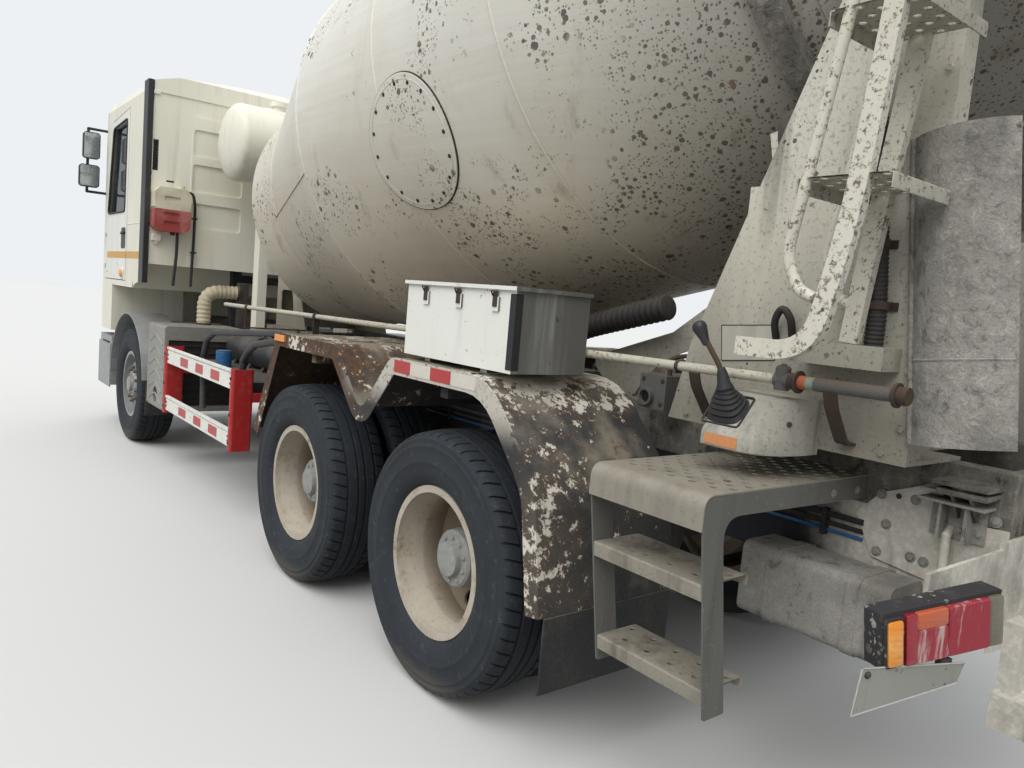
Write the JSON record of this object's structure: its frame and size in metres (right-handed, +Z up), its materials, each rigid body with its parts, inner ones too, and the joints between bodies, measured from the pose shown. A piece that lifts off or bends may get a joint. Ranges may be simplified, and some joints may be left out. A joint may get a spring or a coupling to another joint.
{
  "type": "concrete mixer truck",
  "caption": "Cab-over concrete mixer truck with a tilted rotating drum on rollers, twin rear wheels, feed and discharge hoppers, a swivelling chute and a ladder.",
  "frame": {"origin": "on the ground under the middle of the truck's bounding box", "axes": "+X forward, +Y to the truck's left, +Z up"},
  "size_m": [8.95, 2.94, 3.976],
  "materials": {
    "frame_paint": "dusty matt paint",
    "grey_steel": "cement-stained grey paint",
    "cream_paint": "aged cream paint",
    "drum_paint": "cream paint with cement crust and rust",
    "drum_inside": "worn steel with cement",
    "fender_paint": "rusted paint",
    "cast_metal": "oily cast iron",
    "tyre_rubber": "dusty rubber",
    "rim_paint": "beige paint under dust",
    "front_rim_paint": "silver paint",
    "box_metal": "dull aluminium",
    "guard_paint": "white and red paint",
    "toolbox_paint": "dirty white paint",
    "black_rubber": "dusty rubber",
    "hose_rubber": "dusty ribbed rubber",
    "lamp_plastic": "faded red and amber lens",
    "tank_plastic": "faded red plastic",
    "black_plastic": "grained black plastic",
    "cab_trim": "grey cloth and plastic",
    "window_glass": "clear"
  },
  "bodies": {
    "chassis": {"frame": "frame_paint", "subframe": "grey_steel", "axles": "cast_metal", "springs": "cast_metal", "powertrain": "cast_metal", "front_end": "box_metal", "lamps": "lamp_plastic", "side_guards": "guard_paint", "battery_box": "grey_steel", "tube_guard": "frame_paint", "fuel_tank": "box_metal", "silencer": "box_metal", "rear_fenders": "fender_paint", "mudflaps": "black_rubber", "toolbox": "toolbox_paint", "platform_steps": "frame_paint", "front_pedestal": "cream_paint", "drum_gearbox": "cast_metal", "water_tank": "cream_paint", "rear_pedestal": "cream_paint", "feed_hopper": "cream_paint", "discharge_hopper": "grey_steel", "ladder": "cream_paint", "control_stand": "grey_steel", "rear_tank": "grey_steel", "rear_bumper": "grey_steel", "spare_chute": "grey_steel", "intake_hose": "hose_rubber"},
    "cab": {"cab_shell": "cream_paint", "cab_glass": "window_glass", "cab_interior": "cab_trim", "mirrors": "black_plastic", "expansion_tank": "tank_plastic"},
    "door_left": {"door_left": "cream_paint", "door_glass_left": "window_glass"},
    "door_right": {"door_right": "cream_paint", "door_glass_right": "window_glass"},
    "toolbox_lid": {"toolbox_lid": "toolbox_paint"},
    "drum": {"drum_shell": "drum_paint", "drum_ring": "cast_metal", "drum_blades": "drum_inside"},
    "drum_roller_left": {"drum_roller_left": "cast_metal"},
    "drum_roller_right": {"drum_roller_right": "cast_metal"},
    "chute_swivel": {"chute_swivel": "grey_steel"},
    "chute": {"chute": "grey_steel"},
    "knuckle_left": {"knuckle_left": "cast_metal"},
    "knuckle_right": {"knuckle_right": "cast_metal"},
    "front_wheel_left": {"front_tyre_left": "tyre_rubber", "front_rim_left": "front_rim_paint"},
    "front_wheel_right": {"front_tyre_right": "tyre_rubber", "front_rim_right": "front_rim_paint"},
    "mid_wheels_left": {"mid_tyres_left": "tyre_rubber", "mid_rims_left": "rim_paint"},
    "mid_wheels_right": {"mid_tyres_right": "tyre_rubber", "mid_rims_right": "rim_paint"},
    "rear_wheels_left": {"rear_tyres_left": "tyre_rubber", "rear_rims_left": "rim_paint"},
    "rear_wheels_right": {"rear_tyres_right": "tyre_rubber", "rear_rims_right": "rim_paint"}
  },
  "joints": [
    {"name": "cab_tilt", "type": "hinge", "parent": "chassis", "child": "cab", "pos_m": [4.35, 0, 0.88], "axis": [0, 1, 0], "range_deg": [0, 50]},
    {"name": "door_left_hinge", "type": "hinge", "parent": "cab", "child": "door_left", "pos_m": [4.15, 1.22, 1.71], "axis": [0, 0, -1], "range_deg": [0, 70]},
    {"name": "door_right_hinge", "type": "hinge", "parent": "cab", "child": "door_right", "pos_m": [4.15, -1.22, 1.71], "axis": [0, 0, 1], "range_deg": [0, 70]},
    {"name": "toolbox_lid_hinge", "type": "hinge", "parent": "chassis", "child": "toolbox_lid", "pos_m": [-2.155, 0.85, 1.596], "axis": [1, 0, 0], "range_deg": [0, 80]},
    {"name": "drum_spin", "type": "hinge", "parent": "chassis", "child": "drum", "pos_m": [-2.073, 0, 2.838], "axis": [0.9744, 0, -0.225], "continuous": true},
    {"name": "drum_roller_left_spin", "type": "hinge", "parent": "chassis", "child": "drum_roller_left", "pos_m": [-3.15728, 0.55385, 2.14233], "axis": [0.9744, 0, -0.225], "continuous": true},
    {"name": "drum_roller_right_spin", "type": "hinge", "parent": "chassis", "child": "drum_roller_right", "pos_m": [-3.15728, -0.55385, 2.14233], "axis": [0.9744, 0, -0.225], "continuous": true},
    {"name": "chute_swivel_turn", "type": "hinge", "parent": "chassis", "child": "chute_swivel", "pos_m": [-4.2, 0, 1.5], "axis": [0, 0, 1], "range_deg": [-180, 0]},
    {"name": "chute_tilt", "type": "hinge", "parent": "chute_swivel", "child": "chute", "pos_m": [-4.2, 0, 1.98], "axis": [1, 0, 0], "range_deg": [-10, 35]},
    {"name": "steer_left", "type": "hinge", "parent": "chassis", "child": "knuckle_left", "pos_m": [3.125, 0.9, 0.52], "axis": [0, 0, 1], "range_deg": [-35, 35]},
    {"name": "steer_right", "type": "hinge", "parent": "chassis", "child": "knuckle_right", "pos_m": [3.125, -0.9, 0.52], "axis": [0, 0, 1], "range_deg": [-35, 35]},
    {"name": "front_wheel_left_spin", "type": "hinge", "parent": "knuckle_left", "child": "front_wheel_left", "pos_m": [3.125, 1.044, 0.52], "axis": [0, 1, 0], "continuous": true},
    {"name": "front_wheel_right_spin", "type": "hinge", "parent": "knuckle_right", "child": "front_wheel_right", "pos_m": [3.125, -1.044, 0.52], "axis": [0, 1, 0], "continuous": true},
    {"name": "mid_wheels_left_spin", "type": "hinge", "parent": "chassis", "child": "mid_wheels_left", "pos_m": [-0.775, 0.909, 0.52], "axis": [0, 1, 0], "continuous": true},
    {"name": "mid_wheels_right_spin", "type": "hinge", "parent": "chassis", "child": "mid_wheels_right", "pos_m": [-0.775, -0.909, 0.52], "axis": [0, 1, 0], "continuous": true},
    {"name": "rear_wheels_left_spin", "type": "hinge", "parent": "chassis", "child": "rear_wheels_left", "pos_m": [-2.125, 0.909, 0.52], "axis": [0, 1, 0], "continuous": true},
    {"name": "rear_wheels_right_spin", "type": "hinge", "parent": "chassis", "child": "rear_wheels_right", "pos_m": [-2.125, -0.909, 0.52], "axis": [0, 1, 0], "continuous": true}
  ],
  "couplings": [
    {"joint": "steer_right", "follows": "steer_left", "ratio": 1}
  ]
}
